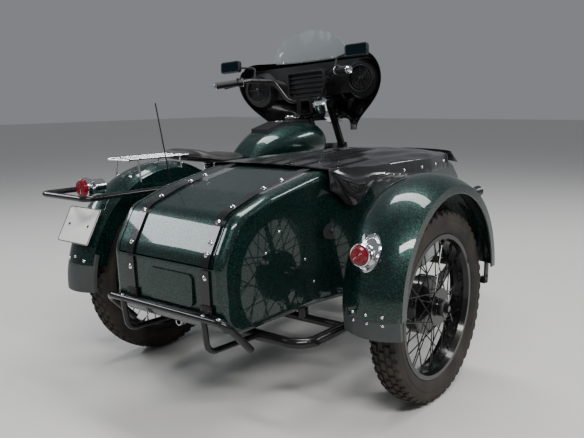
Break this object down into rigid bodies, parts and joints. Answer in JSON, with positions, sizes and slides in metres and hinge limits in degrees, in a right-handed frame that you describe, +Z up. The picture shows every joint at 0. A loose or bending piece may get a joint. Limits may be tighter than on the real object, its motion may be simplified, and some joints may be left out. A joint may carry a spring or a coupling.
{
  "type": "sidecar motorcycle",
  "caption": "Flat-twin motorcycle with a sidecar on its right: fork fairing, solo saddle, covered tub with a hinged boot lid, wire wheels.",
  "frame": {"origin": "on the floor under the middle of the object's box", "axes": "+Z up, the outfit faces -Y, the sidecar is on -X, the rider's right"},
  "size_m": [1.7047, 2.3081, 1.4149],
  "materials": {
    "green_paint": "gloss metallic flake",
    "black_paint": "gloss",
    "black_satin": "satin",
    "engine_alloy": "cast",
    "chrome": "polished",
    "saddle_leather": "grained",
    "plate_white": "satin",
    "red_lens": "clear moulded",
    "rubber": "matte",
    "vinyl": "coated, glossy",
    "tinted_glass": "tinted",
    "clear_glass": "clear",
    "tyre_rubber": "dusty"
  },
  "bodies": {
    "chassis": {"bike_frame": "black_paint", "crankcase": "engine_alloy", "cylinders": "engine_alloy", "carburettors": "engine_alloy", "gearbox": "engine_alloy", "exhausts": "chrome", "rear_shocks": "black_paint", "swingarm": "black_paint", "fuel_tank": "green_paint", "tank_console": "black_satin", "saddle": "saddle_leather", "saddle_stands": "black_satin", "rear_fender": "green_paint", "rear_rack": "chrome", "rear_hoop": "black_paint", "number_plate": "plate_white", "sidecar_fender": "green_paint", "rear_lamps": "chrome", "rear_lenses": "red_lens", "mudflaps": "rubber", "marker_lamp": "black_satin", "foot_controls": "black_satin", "side_boxes": "black_paint", "sidecar_frame": "black_paint", "sidecar_struts": "black_paint", "sidecar_suspension": "black_paint", "tub": "green_paint", "bumper_bar": "black_paint", "tonneau_cover": "vinyl", "tub_screen": "tinted_glass", "aerial": "black_satin"},
    "boot_lid": {"boot_lid": "green_paint"},
    "centre_stand": {"centre_stand": "black_paint"},
    "fork": {"fork_yokes": "black_paint", "fork_legs": "black_paint", "front_fender": "green_paint", "handlebar": "black_paint", "hand_controls": "black_satin", "mirrors": "black_satin", "headlamp": "chrome", "fairing_shell": "black_paint", "fairing_dash": "black_satin", "windscreen": "clear_glass", "fairing_bracket": "black_paint", "speedometer": "chrome"},
    "front_wheel": {"front_tyre": "tyre_rubber", "front_wheel": "black_paint"},
    "rear_wheel": {"rear_tyre": "tyre_rubber", "rear_wheel": "black_paint"},
    "sidecar_wheel": {"sidecar_tyre": "tyre_rubber", "sidecar_wheel": "black_paint"}
  },
  "joints": [
    {"name": "steering", "type": "hinge", "parent": "chassis", "child": "fork", "pos_m": [0.425, -0.48558, 0.77], "axis": [0, 0.4695, 0.8829], "range_deg": [-45, 25]},
    {"name": "front_wheel_spin", "type": "hinge", "parent": "fork", "child": "front_wheel", "pos_m": [0.43952, -0.80888, 0.3374], "axis": [0.9848, 0.1533, -0.0815], "continuous": true},
    {"name": "rear_wheel_spin", "type": "hinge", "parent": "chassis", "child": "rear_wheel", "pos_m": [0.425, 0.68, 0.338], "axis": [1, 0, 0], "continuous": true},
    {"name": "sidecar_wheel_spin", "type": "hinge", "parent": "chassis", "child": "sidecar_wheel", "pos_m": [-0.752, 0.475, 0.338], "axis": [1, 0, 0], "continuous": true},
    {"name": "boot_lid_hinge", "type": "hinge", "parent": "chassis", "child": "boot_lid", "pos_m": [-0.135, 0.614, 0.803], "axis": [1, 0, 0], "range_deg": [0, 75]},
    {"name": "centre_stand_hinge", "type": "hinge", "parent": "chassis", "child": "centre_stand", "pos_m": [0.425, 0.25005, 0.178], "axis": [1, 0, 0], "range_deg": [-38, 0]}
  ]
}
